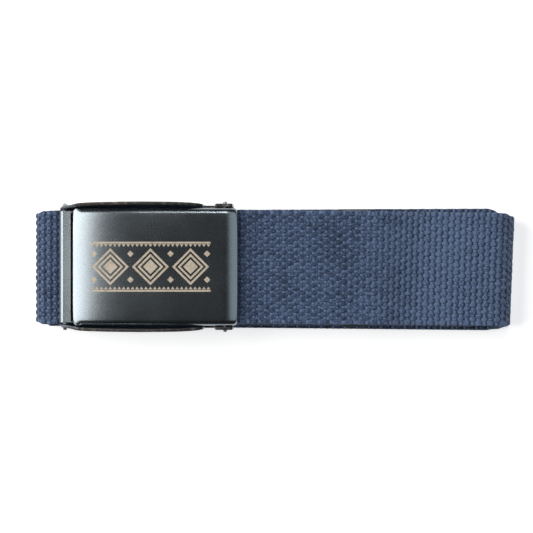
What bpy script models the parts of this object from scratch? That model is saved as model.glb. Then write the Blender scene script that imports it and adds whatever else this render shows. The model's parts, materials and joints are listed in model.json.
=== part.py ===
"""A canvas web belt with a flip-top buckle, fastened and folded flat into a packet of three panels.

The packet lies on its back: +X runs along the belt from the buckle to the free fold, +Y is the
belt's upper edge, and +Z points up to the face of the buckle. Lengths are in metres.
"""

import math
from collections import namedtuple

import bpy
import bmesh
from mathutils import Vector

# Webbing
WEB_WIDTH = 0.038
WEB_THICKNESS = 0.002
WEB_EDGE_ROUND = 0.0006
GRIPPED_THICKNESS = 0.0012
CLEARANCE = 0.0003

# Packet, with each fold's place measured in from the packet's left or right end
PACKET_LENGTH = 0.1624
INNER_FOLD_INSET = 0.0048
LEFT_CORE_INSET = 0.0032
LOOSE_END_INSET = 0.0165
BOTTOM_END_INSET = 0.0035
FOLD_PINCH = 0.0008
FOLD_SLANT = 0.04
FRONT_SPRING = 0.0006

# Buckle frame, one folded sheet
BUCKLE_INSET = 0.0085
FRAME_LENGTH = 0.0587
FRAME_SHEET = 0.001
FRAME_BEND = 0.0013
FRAME_SIDE_CLEARANCE = 0.0005
FRAME_FLARE = 0.0015
WALL_HEIGHT = 0.0084
EAR_LENGTH = 0.0068
EAR_HEIGHT = 0.0058
LINK_LENGTH = 0.0028
LINK_HEIGHT = 0.0012

# Cross pins
PIN_RADIUS = 0.0007
PIN_CLEARANCE = 0.0002
HINGE_PIN_FROM_END = 0.0017
HINGE_PIN_PROUD = 0.0007
CLAMP_PIN_FROM_END = 0.003
CLAMP_PIN_PROUD = 0.0007

# Lid lever, a sheet rolled round the hinge pin
LEVER_SHEET = 0.0008
LEVER_LENGTH = 0.046
LEVER_EDGE_INSET = 0.0019
KNUCKLE_RADIUS = 0.0017
KNUCKLE_RISE = 0.0007
KNUCKLE_CORNER = 0.0008
KNUCKLE_LIP = 0.00215
KNUCKLE_TILT = 0.0003
KNUCKLE_SIDE_GAP = 0.0007

# Domed face plate of the lid
FACE_OVERHANG = 0.0011
FACE_SIDE_GAP = 0.0022
FACE_SHEET = 0.0008
FACE_FROM_PIN = 0.0028
FACE_CREST = 0.0043
FACE_LEFT_DROP = 0.0022
FACE_RIGHT_DROP = 0.0004
FACE_CROSS_CROWN = 0.0004
FACE_EDGE_ROLL = 0.002
FACE_EDGE_DROP = 0.0015
FACE_CORNER = 0.0012
BEVEL_LENGTH = 0.0046
BEVEL_DROP = 0.001

# Clamp on the webbing's fixed end
CLAMP_SHEET = 0.0006
CLAMP_REACH = 0.0036
CLAMP_EDGE_INSET = 0.0008

# Metal tip on the free end
TIP_SHEET = 0.0004
TIP_LENGTH = 0.0091
TIP_SIDE_CLEARANCE = 0.0005
TIP_CORNER = 0.0012
TIP_FROM_FRAME = 0.0457

# Heights of the stacked layers
HALF_WEB = WEB_THICKNESS / 2
LAYER_STEP = WEB_THICKNESS + CLEARANCE
LAYERS_UNDER_BUCKLE = 5
LAYER = [HALF_WEB + LAYER_STEP * i for i in range(LAYERS_UNDER_BUCKLE)]
FRAME_BOTTOM = LAYER[-1] + HALF_WEB + CLEARANCE
THREADED = FRAME_BOTTOM + FRAME_SHEET + CLEARANCE + HALF_WEB
TAIL = LAYER[-1] + LAYER_STEP
OVER_TAIL = TAIL + LAYER_STEP
TIP_BOTTOM = LAYER[-1] + HALF_WEB + CLEARANCE
TIP_HEIGHT = WEB_THICKNESS + 2 * (CLEARANCE + TIP_SHEET)
IN_TIP = TIP_BOTTOM + TIP_HEIGHT / 2
OVER_TIP = TIP_BOTTOM + TIP_HEIGHT + CLEARANCE + HALF_WEB
CLAMP_LOOP = PIN_RADIUS + PIN_CLEARANCE + CLAMP_SHEET
HINGE_Z = THREADED + HALF_WEB + CLEARANCE + KNUCKLE_RADIUS
CLAMP_Z = THREADED + HALF_WEB + CLEARANCE + CLAMP_LOOP

# Places along the packet
PACKET_LEFT = -PACKET_LENGTH / 2
PACKET_RIGHT = PACKET_LENGTH / 2
FRAME_LEFT = PACKET_LEFT + BUCKLE_INSET
FRAME_RIGHT = FRAME_LEFT + FRAME_LENGTH
HINGE_X = FRAME_LEFT + HINGE_PIN_FROM_END
CLAMP_X = FRAME_RIGHT - CLAMP_PIN_FROM_END
FACE_LENGTH = FRAME_RIGHT + FACE_OVERHANG - HINGE_X - FACE_FROM_PIN
TIP_RIGHT = FRAME_RIGHT + TIP_FROM_FRAME
TIP_LEFT = TIP_RIGHT - TIP_LENGTH

# Half-widths
HALF_WIDTH = WEB_WIDTH / 2
WALL_INSIDE = HALF_WIDTH + FRAME_SIDE_CLEARANCE
WALL_OUTSIDE = WALL_INSIDE + FRAME_SHEET
HALF_FACE = WALL_OUTSIDE + FRAME_FLARE - FACE_SIDE_GAP

# Sideways place of each stretch of webbing at its two ends, as shares of half its width
Sideways = namedtuple("Sideways", "start end")
FRONT_DRIFT = Sideways(0.006, -0.045)
BOTTOM_DRIFT = Sideways(-0.116, -0.05)
SECOND_DRIFT = Sideways(-0.05, -0.128)
BEHIND_DRIFT = Sideways(0.028, -0.01)
FOURTH_DRIFT = Sideways(-0.01, -0.06)
THIRD_DRIFT = Sideways(-0.06, -0.018)
THREADED_DRIFT = Sideways(-0.002, -0.022)

# Side walls of the frame: along as a share of the zone's length, height of the zone's height,
# flare of the full flare and thinned of the sheet. At the hinge the walls draw in to a rounded
# end that steps down, so that the face plate's corners clear it when the lid stands open. The
# link between wall and ear keeps its own low height.
WallRow = namedtuple("WallRow", "along height flare thinned", defaults=(0.0,))
SIDE_WALL = [
    WallRow(0.0, 0.81, -0.1, 0.85),
    WallRow(0.008, 0.825, 0.0, 0.42),
    WallRow(0.022, 0.85, 0.07, 0.08),
    WallRow(0.05, 0.88, 0.12),
    WallRow(0.08, 0.9, 0.27),
    WallRow(0.105, 0.92, 0.5),
    WallRow(0.14, 0.925, 0.7),
    WallRow(0.2, 0.94, 0.8),
    WallRow(0.3, 0.97, 0.9),
    WallRow(0.42, 0.99, 0.97),
    WallRow(0.55, 1.0, 1.0),
    WallRow(0.7, 0.985, 0.97),
    WallRow(0.82, 0.95, 0.9),
    WallRow(0.9, 0.88, 0.76),
    WallRow(0.95, 0.76, 0.6),
    WallRow(0.98, 0.6, 0.42),
]
EAR = [
    WallRow(0.02, 0.45, 0.25),
    WallRow(0.08, 0.92, 0.5),
    WallRow(0.16, 1.0, 0.54),
    WallRow(0.84, 1.0, 0.54),
    WallRow(0.92, 0.92, 0.5),
    WallRow(1.0, 0.45, 0.25),
]
LINK_FLARE = 0.12

Station = namedtuple("Station", "x z y slant pinch thickness")


def clear_scene():
    for old in list(bpy.data.objects):
        bpy.data.objects.remove(old, do_unlink=True)


def make_material(name, colour, roughness, metallic):
    material = bpy.data.materials.new(name)
    material.use_nodes = True
    shader = material.node_tree.nodes["Principled BSDF"]
    shader.inputs["Base Color"].default_value = colour
    shader.inputs["Roughness"].default_value = roughness
    shader.inputs["Metallic"].default_value = metallic
    return material


def add_object(name, shape, material, place=(0, 0, 0), parent=None, smooth_angle=35):
    mesh = bpy.data.meshes.new(name)
    bmesh.ops.recalc_face_normals(shape, faces=shape.faces)
    shape.to_mesh(mesh)
    shape.free()
    mesh.materials.append(material)
    mesh.shade_smooth()
    mesh.set_sharp_from_angle(angle=math.radians(smooth_angle))
    item = bpy.data.objects.new(name, mesh)
    item.location = place
    item.parent = parent
    bpy.context.scene.collection.objects.link(item)
    return item


def cut(item, name, shape):
    """Cuts a shape, given in the item's own coordinates, out of the item."""
    cutter = add_object(name, shape, item.data.materials[0], item.location, item.parent)
    cutter.hide_render = True
    cutter.display_type = "WIRE"
    modifier = item.modifiers.new(name, "BOOLEAN")
    modifier.operation = "DIFFERENCE"
    modifier.solver = "EXACT"
    modifier.object = cutter


def loft(sections):
    """A closed solid through outlines that all have the same number of points."""
    shape = bmesh.new()
    rings = [[shape.verts.new(point) for point in section] for section in sections]
    count = len(rings[0])
    for ring, following in zip(rings, rings[1:]):
        for i in range(count):
            j = (i + 1) % count
            shape.faces.new((ring[i], ring[j], following[j], following[i]))
    shape.faces.new(rings[0])
    shape.faces.new(list(reversed(rings[-1])))
    return shape


def box(low, high):
    corners = ((low[0], low[1]), (high[0], low[1]), (high[0], high[1]), (low[0], high[1]))
    return loft([[Vector((x, y, z)) for x, y in corners] for z in (low[2], high[2])])


def arc(centre, radius, start, end, steps):
    """Points of an arc as (across, up) pairs, with angles in degrees from the first axis."""
    points = []
    for i in range(steps + 1):
        turn = math.radians(start + (end - start) * i / steps)
        points.append((centre[0] + radius * math.cos(turn), centre[1] + radius * math.sin(turn)))
    return points


def round_bar(radius, half_length, place=(0.0, 0.0), sides=16):
    """A bar along Y with a small chamfer at each end."""
    chamfer = radius / 4
    ends = ((-half_length, radius - chamfer), (-half_length + chamfer, radius))
    ends += ((half_length - chamfer, radius), (half_length, radius - chamfer))
    step = 360 / sides
    sections = []
    for y, r in ends:
        circle = arc(place, r, 0, 360 - step, sides - 1)
        sections.append([Vector((x, y, z)) for x, z in circle])
    return loft(sections)


def ease(share):
    return share * share * (3 - 2 * share)


# Webbing

def gripped(x):
    """Thickness of the webbing's fixed end, squeezed as far as the clamp's mouth."""
    mouth = CLAMP_X + CLAMP_REACH + CLEARANCE
    share = max(0.0, min(1.0, (x - mouth) / WEB_THICKNESS))
    return GRIPPED_THICKNESS + (WEB_THICKNESS - GRIPPED_THICKNESS) * share


def straight_run(start, end, level, drift, slant=(0.0, 0.0), steps=(), samples=7):
    """Stations from x = start to x = end. Each step (from, to, level) eases to a new level."""
    places = [(start, level)]
    for step_start, step_end, step_level in steps:
        for i in range(samples):
            share = i / (samples - 1)
            x = step_start + (step_end - step_start) * share
            places.append((x, level + (step_level - level) * ease(share)))
        level = step_level
    places.append((end, level))
    stations = []
    for x, z in places:
        share = (x - start) / (end - start)
        y = HALF_WIDTH * (drift.start + (drift.end - drift.start) * share)
        lean = slant[0] + (slant[1] - slant[0]) * ease(share)
        stations.append(Station(x, z, y, lean, 0.0, WEB_THICKNESS))
    return stations


def fold(centre, side, levels, drift, slant=0.0, pinch=0.0, samples=6):
    """Stations of a half turn that bulges to the right (side 1) or to the left (side -1)."""
    radius = abs(levels[1] - levels[0]) / 2
    middle = (levels[0] + levels[1]) / 2
    stations = []
    for i in range(1, samples):
        share = i / samples
        turn = math.pi * share
        x = centre + side * radius * math.sin(turn)
        z = middle + (levels[0] - middle) * math.cos(turn)
        y = HALF_WIDTH * (drift.start + (drift.end - drift.start) * share)
        narrowing = pinch * max(0.0, 2 * math.sin(turn) - 1)
        stations.append(Station(x, z, y, slant, narrowing, WEB_THICKNESS))
    return stations


def web_route():
    """The webbing's stations from the clamp, round the packet, through the buckle, to the tip."""
    outer_radius = (TAIL - LAYER[0]) / 2
    inner_radius = (LAYER[4] - LAYER[1]) / 2
    threaded_radius = (THREADED - LAYER[2]) / 2
    tight_radius = LAYER_STEP / 2
    slant_reach = FOLD_SLANT * (HALF_WIDTH - FOLD_PINCH - WEB_EDGE_ROUND)
    outer_right = PACKET_RIGHT - slant_reach - HALF_WEB - outer_radius
    inner_right = PACKET_RIGHT - INNER_FOLD_INSET - HALF_WEB - inner_radius
    loose_right = PACKET_RIGHT - LOOSE_END_INSET
    outer_left = PACKET_LEFT + HALF_WEB + threaded_radius
    core_left = PACKET_LEFT + LEFT_CORE_INSET + HALF_WEB + tight_radius
    bottom_left = PACKET_LEFT + BOTTOM_END_INSET + HALF_WEB + tight_radius
    clamp_mouth = CLAMP_X + CLAMP_REACH
    settled = FRAME_RIGHT + 5 * WEB_THICKNESS

    front_steps = [
        (clamp_mouth, settled, OVER_TAIL + FRONT_SPRING),
        (settled + 2 * WEB_THICKNESS, TIP_LEFT, OVER_TIP),
        (TIP_RIGHT + CLEARANCE, TIP_RIGHT + 9 * WEB_THICKNESS, TAIL),
    ]
    route = straight_run(
        CLAMP_X + CLAMP_LOOP, outer_right, CLAMP_Z, FRONT_DRIFT, (0.0, FOLD_SLANT), front_steps
    )
    route = [station._replace(thickness=gripped(station.x)) for station in route]
    turn = Sideways(FRONT_DRIFT.end, BOTTOM_DRIFT.start)
    route += fold(outer_right, 1, (TAIL, LAYER[0]), turn, FOLD_SLANT, FOLD_PINCH, 12)
    route += straight_run(outer_right, bottom_left, LAYER[0], BOTTOM_DRIFT, (FOLD_SLANT, 0.0))
    route += fold(bottom_left, -1, (LAYER[0], LAYER[1]), Sideways(BOTTOM_DRIFT.end, SECOND_DRIFT.start))
    route += straight_run(bottom_left, inner_right, LAYER[1], SECOND_DRIFT)
    turn = Sideways(SECOND_DRIFT.end, BEHIND_DRIFT.start)
    route += fold(inner_right, 1, (LAYER[1], LAYER[4]), turn, 0.0, FOLD_PINCH, 10)
    route += straight_run(inner_right, core_left, LAYER[4], BEHIND_DRIFT)
    route += fold(core_left, -1, (LAYER[4], LAYER[3]), Sideways(BEHIND_DRIFT.end, FOURTH_DRIFT.start))
    route += straight_run(core_left, loose_right, LAYER[3], FOURTH_DRIFT)
    route += fold(loose_right, 1, (LAYER[3], LAYER[2]), Sideways(FOURTH_DRIFT.end, THIRD_DRIFT.start))
    route += straight_run(loose_right, outer_left, LAYER[2], THIRD_DRIFT)
    turn = Sideways(THIRD_DRIFT.end, THIRD_DRIFT.end)
    route += fold(outer_left, -1, (LAYER[2], THREADED), turn, 0.0, FOLD_PINCH, 12)
    entering = Sideways(THIRD_DRIFT.end, THREADED_DRIFT.start)
    route += straight_run(outer_left, FRAME_LEFT, THREADED, entering)
    tail_steps = [
        (FRAME_RIGHT + CLEARANCE, FRAME_RIGHT + 3.5 * WEB_THICKNESS, TAIL),
        (TIP_LEFT - 1.5 * WEB_THICKNESS, TIP_LEFT - CLEARANCE, IN_TIP),
    ]
    tail_end = TIP_RIGHT - TIP_SHEET - CLEARANCE
    route += straight_run(FRAME_LEFT, tail_end, THREADED, THREADED_DRIFT, steps=tail_steps)
    return route


def spaced(route):
    """The route without stations that lie on the one before them."""
    kept = [route[0]]
    for station in route[1:]:
        step = math.hypot(station.x - kept[-1].x, station.z - kept[-1].z)
        if step > CLEARANCE / 3:
            kept.append(station)
    return kept


def web_section(station, along):
    """The webbing's outline at a station: flat faces with rounded selvedges."""
    up = Vector((-along.z, 0, along.x))
    edge = HALF_WIDTH - station.pinch
    half = station.thickness / 2
    rounding = min(WEB_EDGE_ROUND, half * 0.7)
    quarter = ((edge, half - rounding), (edge - rounding, half))
    outline = list(quarter) + [(-across, up_by) for across, up_by in reversed(quarter)]
    outline += [(-across, -up_by) for across, up_by in quarter]
    outline += [(across, -up_by) for across, up_by in reversed(quarter)]
    centre = Vector((station.x, station.y, station.z))
    return [centre + Vector((station.slant * a, a, 0)) + up * b for a, b in outline]


def build_web(material):
    route = spaced(web_route())
    sections = []
    for i, station in enumerate(route):
        before = route[max(0, i - 1)]
        after = route[min(len(route) - 1, i + 1)]
        along = Vector((after.x - before.x, 0, after.z - before.z)).normalized()
        sections.append(web_section(station, along))
    add_object("web", loft(sections), material, smooth_angle=50)


def build_web_tip(material):
    """A shallow box of thin sheet, open towards the buckle, with the free end inside."""
    half = HALF_WIDTH + TIP_SIDE_CLEARANCE + TIP_SHEET
    corner = TIP_CORNER
    plan = [(-TIP_LENGTH, -half)]
    plan += arc((-corner, -half + corner), corner, -90, 0, 4)
    plan += arc((-corner, half - corner), corner, 0, 90, 4)
    plan.append((-TIP_LENGTH, half))
    shape = loft([[Vector((x, y, z)) for x, y in plan] for z in (0, TIP_HEIGHT)])
    place = (TIP_RIGHT, HALF_WIDTH * THREADED_DRIFT.end, TIP_BOTTOM)
    tip = add_object("web_tip", shape, material, place)
    inside = half - TIP_SHEET
    pocket_low = (-TIP_LENGTH - TIP_SHEET, -inside, TIP_SHEET)
    pocket_high = (-TIP_SHEET, inside, TIP_HEIGHT - TIP_SHEET)
    cut(tip, "tip_pocket", box(pocket_low, pocket_high))


# Buckle frame

def frame_rows():
    """Rows of (place along the frame, edge height above the frame's floor, flare, thinned)."""
    wall_length = FRAME_LENGTH - EAR_LENGTH - LINK_LENGTH
    ear_start = FRAME_LENGTH - EAR_LENGTH
    rows = [(r.along * wall_length, r.height * WALL_HEIGHT, r.flare, r.thinned) for r in SIDE_WALL]
    rows.append((wall_length, LINK_HEIGHT, LINK_FLARE, 0.0))
    rows.append((ear_start, LINK_HEIGHT, LINK_FLARE, 0.0))
    for r in EAR:
        rows.append((ear_start + r.along * EAR_LENGTH, r.height * EAR_HEIGHT, r.flare, r.thinned))
    return rows


def frame_section(x, height, flare, thinned):
    """The folded sheet's U, with its walls leaning out by the flare at their edges."""
    inner_bend = FRAME_BEND - FRAME_SHEET
    outside = WALL_OUTSIDE - FRAME_SHEET * thinned
    rim = outside + FRAME_FLARE * flare
    top = FRAME_SHEET + height
    half = arc((outside - FRAME_BEND, FRAME_BEND), FRAME_BEND, -90, 0, 3)
    half += [(rim, top), (rim - FRAME_SHEET * (1 - thinned), top)]
    half += arc((WALL_INSIDE - inner_bend, FRAME_SHEET + inner_bend), inner_bend, 0, -90, 2)
    outline = half + [(-y, z) for y, z in reversed(half)]
    return [Vector((x, y, z)) for y, z in outline]


def build_frame(material):
    shape = loft([frame_section(*row) for row in frame_rows()])
    frame = add_object("frame", shape, material, (FRAME_LEFT, 0, FRAME_BOTTOM))
    reach = WALL_OUTSIDE + 2 * FRAME_FLARE
    hole = PIN_RADIUS + PIN_CLEARANCE
    for name, x, z in (("hinge_hole", HINGE_X, HINGE_Z), ("clamp_hole", CLAMP_X, CLAMP_Z)):
        cut(frame, name, round_bar(hole, reach, (x - FRAME_LEFT, z - FRAME_BOTTOM)))


def build_pins(material):
    hinge_rim = WALL_OUTSIDE + FRAME_FLARE * SIDE_WALL[3].flare
    clamp_rim = WALL_OUTSIDE + FRAME_FLARE * EAR[2].flare
    hinge_bar = round_bar(PIN_RADIUS, hinge_rim + HINGE_PIN_PROUD)
    clamp_bar = round_bar(PIN_RADIUS, clamp_rim + CLAMP_PIN_PROUD)
    add_object("hinge_pin", hinge_bar, material, (HINGE_X, 0, HINGE_Z))
    add_object("clamp_pin", clamp_bar, material, (CLAMP_X, 0, CLAMP_Z))


# Bent sheet pieces

def bent_sheet(line, sheet, half_width):
    """A sheet round a centre line of (x, z) points, with square cut ends."""
    upper = []
    lower = []
    for i, point in enumerate(line):
        before = Vector(line[max(0, i - 1)])
        after = Vector(line[min(len(line) - 1, i + 1)])
        here = Vector(point)
        arriving = (here - before) if i > 0 else (after - here)
        leaving = (after - here) if i < len(line) - 1 else arriving
        along = (arriving.normalized() + leaving.normalized()).normalized()
        offset = Vector((-along.y, along.x)) * sheet / 2 / arriving.normalized().dot(along)
        upper.append(here + offset)
        lower.append(here - offset)
    outline = upper + list(reversed(lower))
    return loft([[Vector((p.x, y, p.y)) for p in outline] for y in (-half_width, half_width)])


def build_strap_clamp(material):
    """A folded sheet that hangs on the clamp pin and grips the webbing's fixed end."""
    middle = CLAMP_LOOP - CLAMP_SHEET / 2
    line = [(CLAMP_REACH, middle)] + arc((0, 0), middle, 90, 270, 10) + [(CLAMP_REACH, -middle)]
    shape = bent_sheet(line, CLAMP_SHEET, HALF_WIDTH - CLAMP_EDGE_INSET)
    add_object("strap_clamp", shape, material, (CLAMP_X, 0, CLAMP_Z))


# Lid, in coordinates from the hinge pin's axis

def face_top(x):
    """Height of the face plate's middle line above the hinge axis."""
    dome_length = FACE_LENGTH - BEVEL_LENGTH
    crest = FACE_FROM_PIN + dome_length * 0.55
    left = max(0.0, (crest - x) / (crest - FACE_FROM_PIN))
    right = max(0.0, (x - crest) / (FACE_FROM_PIN + FACE_LENGTH - crest))
    bevel = max(0.0, (x - FACE_FROM_PIN - dome_length) / BEVEL_LENGTH)
    dome = FACE_CREST - FACE_LEFT_DROP * left ** 3 - FACE_RIGHT_DROP * right ** 2
    return dome - BEVEL_DROP * bevel ** 1.7


def corner_inset(x):
    """How far the face plate's long edge draws in at the rounded corners."""
    nearest = min(x - FACE_FROM_PIN, FACE_FROM_PIN + FACE_LENGTH - x)
    short = max(0.0, 1 - nearest / FACE_CORNER)
    return FACE_CORNER * (1 - math.sqrt(1 - short * short))


def face_section(x):
    """The face plate's outline across the belt: a slightly crowned sheet with rolled edges."""
    flat = HALF_FACE - FACE_EDGE_ROLL
    squeeze = (HALF_FACE - corner_inset(x)) / HALF_FACE
    upper = [(flat * share, 0.0) for share in (0.0, 0.35, 0.65, 0.87)]
    lower = [(across, -FACE_SHEET) for across, _ in upper]
    for i in range(6):
        turn = math.radians(90 * i / 5)
        across, down = math.sin(turn), 1 - math.cos(turn)
        upper.append((flat + FACE_EDGE_ROLL * across, -FACE_EDGE_DROP * down))
        inner_drop = FACE_SHEET + (FACE_EDGE_DROP - FACE_SHEET) * down
        lower.append((flat + (FACE_EDGE_ROLL - FACE_SHEET) * across, -inner_drop))
    half_outline = upper + list(reversed(lower))
    other_half = [(-y, z) for y, z in reversed(half_outline) if y > 0]
    section = []
    for y, z in half_outline + other_half:
        crown = FACE_CROSS_CROWN * (abs(y) / HALF_FACE) ** 4
        section.append(Vector((x, y * squeeze, face_top(x) - crown + z)))
    return section


def build_face_plate(material, hinge):
    start = FACE_FROM_PIN
    end = FACE_FROM_PIN + FACE_LENGTH
    crease = end - BEVEL_LENGTH
    corner_shares = (0.0, 0.12, 0.35, 0.65)
    places = [start + FACE_CORNER * share for share in corner_shares]
    first = start + FACE_CORNER
    places += [first + (crease - first) * i / 14 for i in range(15)]
    places += [crease + (end - FACE_CORNER - crease) * i / 3 for i in range(1, 3)]
    places += [end - FACE_CORNER * share for share in reversed(corner_shares)]
    add_object("face_plate", loft([face_section(x) for x in places]), material, parent=hinge)


def build_flip_lever(material, hinge):
    """A flat lip on top, a knuckle round the pin, then a carrier that runs under the face plate."""
    middle = KNUCKLE_RADIUS - LEVER_SHEET / 2
    lip = middle + KNUCKLE_RISE
    corner = KNUCKLE_CORNER
    line = [(KNUCKLE_LIP, lip + KNUCKLE_TILT)]
    line += arc((corner - middle, lip - corner), corner, 90, 180, 4)
    line += arc((0, 0), middle, 180, 305, 9)
    under = FACE_CROSS_CROWN + FACE_SHEET + CLEARANCE + LEVER_SHEET / 2
    start = FACE_FROM_PIN + LEVER_SHEET
    for i in range(13):
        x = start + (LEVER_LENGTH - start) * i / 12
        line.append((x, face_top(x) - under))
    half_width = WALL_INSIDE - KNUCKLE_SIDE_GAP
    lever = add_object("flip_lever", bent_sheet(line, LEVER_SHEET, half_width), material, parent=hinge)
    notch_start = (KNUCKLE_LIP + FACE_FROM_PIN) / 2
    for name, side in (("lever_notch_far", 1), ("lever_notch_near", -1)):
        edges = sorted((side * (HALF_FACE - LEVER_EDGE_INSET), side * (half_width + LEVER_SHEET)))
        low = (notch_start, edges[0], -KNUCKLE_RADIUS)
        high = (LEVER_LENGTH + LEVER_SHEET, edges[1], FACE_CREST)
        cut(lever, name, box(low, high))


def build_lid(material):
    hinge = bpy.data.objects.new("lid_hinge", None)
    hinge.location = (HINGE_X, 0, HINGE_Z)
    bpy.context.scene.collection.objects.link(hinge)
    build_flip_lever(material, hinge)
    build_face_plate(material, hinge)


def build():
    clear_scene()
    canvas = make_material("navy_canvas", (0.062, 0.098, 0.19, 1.0), 0.9, 0.0)
    black_metal = make_material("black_metal", (0.028, 0.03, 0.034, 1.0), 0.38, 0.9)
    dark_steel = make_material("dark_steel", (0.05, 0.05, 0.055, 1.0), 0.35, 1.0)
    build_web(canvas)
    build_web_tip(black_metal)
    build_frame(black_metal)
    build_pins(dark_steel)
    build_strap_clamp(dark_steel)
    build_lid(black_metal)


build()
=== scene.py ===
import json
import math

import bmesh
import bpy
from mathutils import Matrix, Vector


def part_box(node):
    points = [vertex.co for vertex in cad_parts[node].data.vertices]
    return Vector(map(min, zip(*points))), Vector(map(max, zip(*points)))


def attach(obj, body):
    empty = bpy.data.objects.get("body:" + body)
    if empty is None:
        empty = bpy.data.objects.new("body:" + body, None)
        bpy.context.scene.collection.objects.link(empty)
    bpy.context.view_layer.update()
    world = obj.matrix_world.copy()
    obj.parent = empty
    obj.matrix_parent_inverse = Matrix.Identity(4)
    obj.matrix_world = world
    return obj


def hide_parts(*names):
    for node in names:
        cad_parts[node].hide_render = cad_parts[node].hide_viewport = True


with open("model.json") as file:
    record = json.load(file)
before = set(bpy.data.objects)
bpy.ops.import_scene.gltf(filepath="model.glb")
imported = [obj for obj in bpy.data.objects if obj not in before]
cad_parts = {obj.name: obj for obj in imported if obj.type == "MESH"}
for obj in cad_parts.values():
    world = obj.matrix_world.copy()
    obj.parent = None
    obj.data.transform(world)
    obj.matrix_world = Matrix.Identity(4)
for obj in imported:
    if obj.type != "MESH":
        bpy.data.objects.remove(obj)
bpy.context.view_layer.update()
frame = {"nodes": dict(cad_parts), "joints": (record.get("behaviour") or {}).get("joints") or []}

# Camera and studio
# The belt was photographed from straight above with a long lens, on a plain pale sweep. A large soft
# light stands at the upper left, a weaker one at the right and a narrow one behind, in a dark room.

PHOTO_SIDE = 533
MILLIMETRE = 0.001
PIXEL = 0.338 * MILLIMETRE
BELT_CENTRE_PX = (275.5, 266.75)
CAMERA_HEIGHT = 1.5
NEAREST_SEEN = 0.05
WEB_SURFACE = 0.0135
SENSOR = 36.0
ROOM_COLOUR = (0.93, 0.97, 1.0, 1.0)
ROOM_STRENGTH = 0.02


def photo_point(x_px, y_px):
    """A pixel of the photograph as (x, y) on the belt, in metres."""
    return ((x_px - BELT_CENTRE_PX[0]) * PIXEL, (BELT_CENTRE_PX[1] - y_px) * PIXEL)


picture_centre = photo_point(PHOTO_SIDE / 2, PHOTO_SIDE / 2)
camera_data = bpy.data.cameras.new("camera")
camera_data.sensor_width = SENSOR
camera_data.lens = SENSOR * CAMERA_HEIGHT / (PHOTO_SIDE * PIXEL)
camera_data.clip_start = NEAREST_SEEN
camera = bpy.data.objects.new("camera", camera_data)
camera.location = (picture_centre[0], picture_centre[1], WEB_SURFACE + CAMERA_HEIGHT)
bpy.context.scene.collection.objects.link(camera)
bpy.context.scene.camera = camera


def soft_light(name, place, target, size, watts, colour=(1.0, 1.0, 1.0)):
    """A rectangular lamp at a place, turned towards its target."""
    light = bpy.data.lights.new(name, "AREA")
    light.shape = "RECTANGLE"
    light.size, light.size_y = size
    light.energy = watts
    light.color = colour
    lamp = bpy.data.objects.new(name, light)
    aim = (Vector(target) - Vector(place)).to_track_quat("-Z", "Y")
    lamp.matrix_world = Matrix.LocRotScale(Vector(place), aim, None)
    bpy.context.scene.collection.objects.link(lamp)


soft_light(
    "key_light", place=(-0.82, 0.16, 0.85), target=(-0.02, 0, 0),
    size=(0.95, 0.95), watts=13.6, colour=(1.0, 0.99, 0.97),
)
soft_light(
    "right_fill", place=(0.74, 0.1, 0.93), target=(0, 0, 0),
    size=(1.0, 0.6), watts=1.7, colour=(0.86, 0.95, 1.0),
)
soft_light(
    "high_back_strip", place=(0.16, 0.66, 1.05), target=(-0.03, 0, 0), size=(0.3, 0.14), watts=2.5,
)

world = bpy.data.worlds.new("studio")
world.use_nodes = True
world.node_tree.nodes["Background"].inputs["Color"].default_value = ROOM_COLOUR
world.node_tree.nodes["Background"].inputs["Strength"].default_value = ROOM_STRENGTH
bpy.context.scene.world = world
bpy.context.scene.view_settings.view_transform = "Standard"

# Floor
# A wide sheet of white card that the belt lies on, lit up so that it stays plain white in the
# picture. It isn't part of the belt.

FLOOR_SIDE = 3.0
CARD_GREY = (0.86, 0.86, 0.86, 1.0)
CARD_WHITE = (0.9, 0.9, 0.9, 1.0)
CARD_GLOW = (1.0, 1.0, 1.0, 1.0)


class Wire:
    """A node's output that is reckoned with as a number: each sum adds its own Math node."""

    def __init__(self, graph, socket):
        self.graph = graph
        self.socket = socket

    def maths(self, operation, *others):
        values = dict(enumerate((self,) + others))
        return self.graph.node("ShaderNodeMath", {"operation": operation}, values)

    def __add__(self, other):
        return self.maths("ADD", other)

    def __radd__(self, other):
        return self.maths("ADD", other)

    def __sub__(self, other):
        return self.maths("SUBTRACT", other)

    def __rsub__(self, other):
        return self.graph.node("ShaderNodeMath", {"operation": "SUBTRACT"}, {0: other, 1: self})

    def __mul__(self, other):
        return self.maths("MULTIPLY", other)

    def __rmul__(self, other):
        return self.maths("MULTIPLY", other)

    def __truediv__(self, other):
        return self.maths("DIVIDE", other)

    def __abs__(self):
        return self.maths("ABSOLUTE")

    def clamp(self):
        return self.graph.node("ShaderNodeClamp", {}, {"Value": self})

    def output(self, name):
        return Wire(self.graph, self.socket.node.outputs[name])


class Graph:
    """A node tree under construction."""

    def __init__(self, tree):
        self.tree = tree

    def node(self, kind, settings=None, values=None, output=0):
        """Adds a node, sets its options, fills or links its inputs and gives one of its outputs."""
        made = self.tree.nodes.new(kind)
        for name, value in (settings or {}).items():
            setattr(made, name, value)
        for key, value in (values or {}).items():
            if isinstance(value, Wire):
                self.tree.links.new(value.socket, made.inputs[key])
            else:
                made.inputs[key].default_value = value
        return Wire(self, made.outputs[output])


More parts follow.
